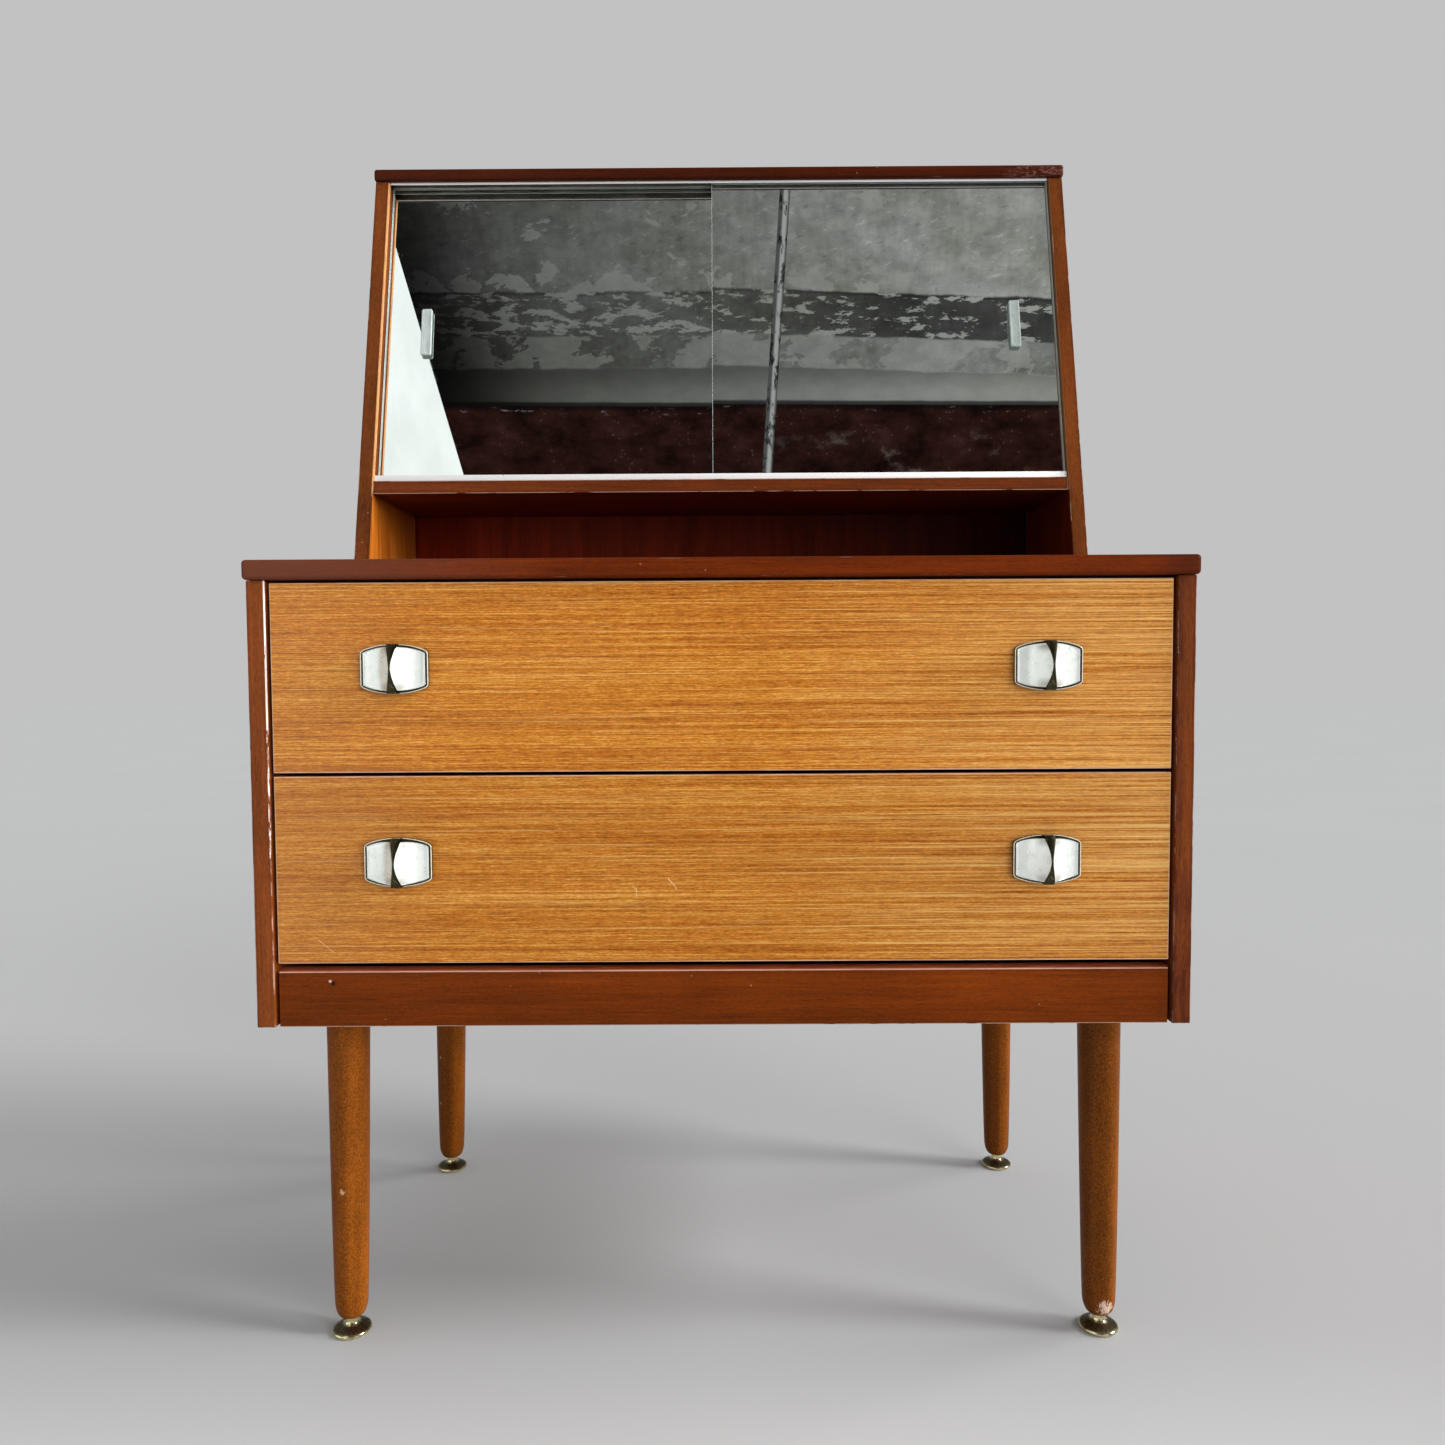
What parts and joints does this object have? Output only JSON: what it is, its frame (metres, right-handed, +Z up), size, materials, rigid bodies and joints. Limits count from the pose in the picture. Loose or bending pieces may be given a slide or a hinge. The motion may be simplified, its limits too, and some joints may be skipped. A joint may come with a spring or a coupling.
{
  "type": "vanity table with mirror",
  "caption": "Vanity table: a case of drawers on turned legs, with an open compartment and a slanted cabinet behind sliding mirror doors.",
  "frame": {"origin": "on the floor, under the middle of the object's box", "axes": "+Z up, the front faces -Y, +X to the right as seen from the front"},
  "size_m": [0.767, 0.4468, 1.142],
  "materials": {
    "case_wood": "satin lacquered sapele-toned veneer, worn at the edges",
    "drawer_veneer": "satin lacquered reconstituted teak veneer with fine horizontal lines",
    "drawer_carcass": "planed, unfinished",
    "panel_board": "stained board, matt",
    "leg_wood": "satin lacquered turned beech",
    "aged_brass": "tarnished plating",
    "polished_aluminium": "softly polished",
    "track_aluminium": "satin anodised",
    "mirror": "silvered float glass",
    "frosted_pull": "frosted, polished edges",
    "zinc_steel": "zinc plated"
  },
  "bodies": {
    "carcass": {"base_panel": "panel_board", "cabinet_back_panel": "panel_board", "cabinet_cap": "case_wood", "cabinet_shelf": "case_wood", "cabinet_side_left": "case_wood", "cabinet_side_right": "case_wood", "case_back_panel": "panel_board", "case_side_left": "case_wood", "case_side_right": "case_wood", "desk_top": "case_wood", "leg_front_left": "leg_wood", "leg_front_right": "leg_wood", "leg_plate_front_left": "zinc_steel", "leg_plate_front_right": "zinc_steel", "leg_plate_rear_left": "zinc_steel", "leg_plate_rear_right": "zinc_steel", "leg_rear_left": "leg_wood", "leg_rear_right": "leg_wood", "plinth_rail": "case_wood", "runner_lower_left": "drawer_carcass", "runner_lower_right": "drawer_carcass", "runner_upper_left": "drawer_carcass", "runner_upper_right": "drawer_carcass", "top_front_rail": "drawer_carcass", "track_bottom": "track_aluminium", "track_top": "track_aluminium"},
    "lower_drawer": {"lower_drawer_front": "drawer_veneer", "lower_drawer_side_left": "drawer_carcass", "lower_drawer_side_right": "drawer_carcass", "lower_drawer_back": "drawer_carcass", "lower_drawer_bottom": "panel_board", "handle_body_lower_left": "aged_brass", "handle_liner_a_lower_left": "polished_aluminium", "handle_liner_b_lower_left": "polished_aluminium", "handle_screw_lower_left": "zinc_steel", "handle_body_lower_right": "aged_brass", "handle_liner_a_lower_right": "polished_aluminium", "handle_liner_b_lower_right": "polished_aluminium", "handle_screw_lower_right": "zinc_steel"},
    "upper_drawer": {"upper_drawer_front": "drawer_veneer", "upper_drawer_side_left": "drawer_carcass", "upper_drawer_side_right": "drawer_carcass", "upper_drawer_back": "drawer_carcass", "upper_drawer_bottom": "panel_board", "handle_body_upper_left": "aged_brass", "handle_liner_a_upper_left": "polished_aluminium", "handle_liner_b_upper_left": "polished_aluminium", "handle_screw_upper_left": "zinc_steel", "handle_body_upper_right": "aged_brass", "handle_liner_a_upper_right": "polished_aluminium", "handle_liner_b_upper_right": "polished_aluminium", "handle_screw_upper_right": "zinc_steel"},
    "mirror_door_left": {"mirror_left": "mirror", "pull_left": "frosted_pull"},
    "mirror_door_right": {"mirror_right": "mirror", "pull_right": "frosted_pull"},
    "glide_front_left": {"glide_front_left": "aged_brass"},
    "glide_front_right": {"glide_front_right": "aged_brass"},
    "glide_rear_left": {"glide_rear_left": "aged_brass"},
    "glide_rear_right": {"glide_rear_right": "aged_brass"}
  },
  "joints": [
    {"name": "lower_drawer_slide", "type": "slide", "parent": "carcass", "child": "lower_drawer", "axis": [0, -1, 0], "range_m": [0, 0.3]},
    {"name": "upper_drawer_slide", "type": "slide", "parent": "carcass", "child": "upper_drawer", "axis": [0, -1, 0], "range_m": [0, 0.3]},
    {"name": "mirror_left_slide", "type": "slide", "parent": "carcass", "child": "mirror_door_left", "axis": [1, 0, 0], "range_m": [0, 0.357]},
    {"name": "mirror_right_slide", "type": "slide", "parent": "carcass", "child": "mirror_door_right", "axis": [-1, 0, 0], "range_m": [0, 0.357]},
    {"name": "glide_front_left_turn", "type": "hinge", "parent": "carcass", "child": "glide_front_left", "pos_m": [-0.32855, -0.1516, 0.01], "axis": [0, 0, 1], "continuous": true},
    {"name": "glide_front_right_turn", "type": "hinge", "parent": "carcass", "child": "glide_front_right", "pos_m": [0.32855, -0.1516, 0.01], "axis": [0, 0, 1], "continuous": true},
    {"name": "glide_rear_left_turn", "type": "hinge", "parent": "carcass", "child": "glide_rear_left", "pos_m": [-0.32185, 0.1694, 0.01], "axis": [0, 0, 1], "continuous": true},
    {"name": "glide_rear_right_turn", "type": "hinge", "parent": "carcass", "child": "glide_rear_right", "pos_m": [0.32185, 0.1694, 0.01], "axis": [0, 0, 1], "continuous": true}
  ]
}
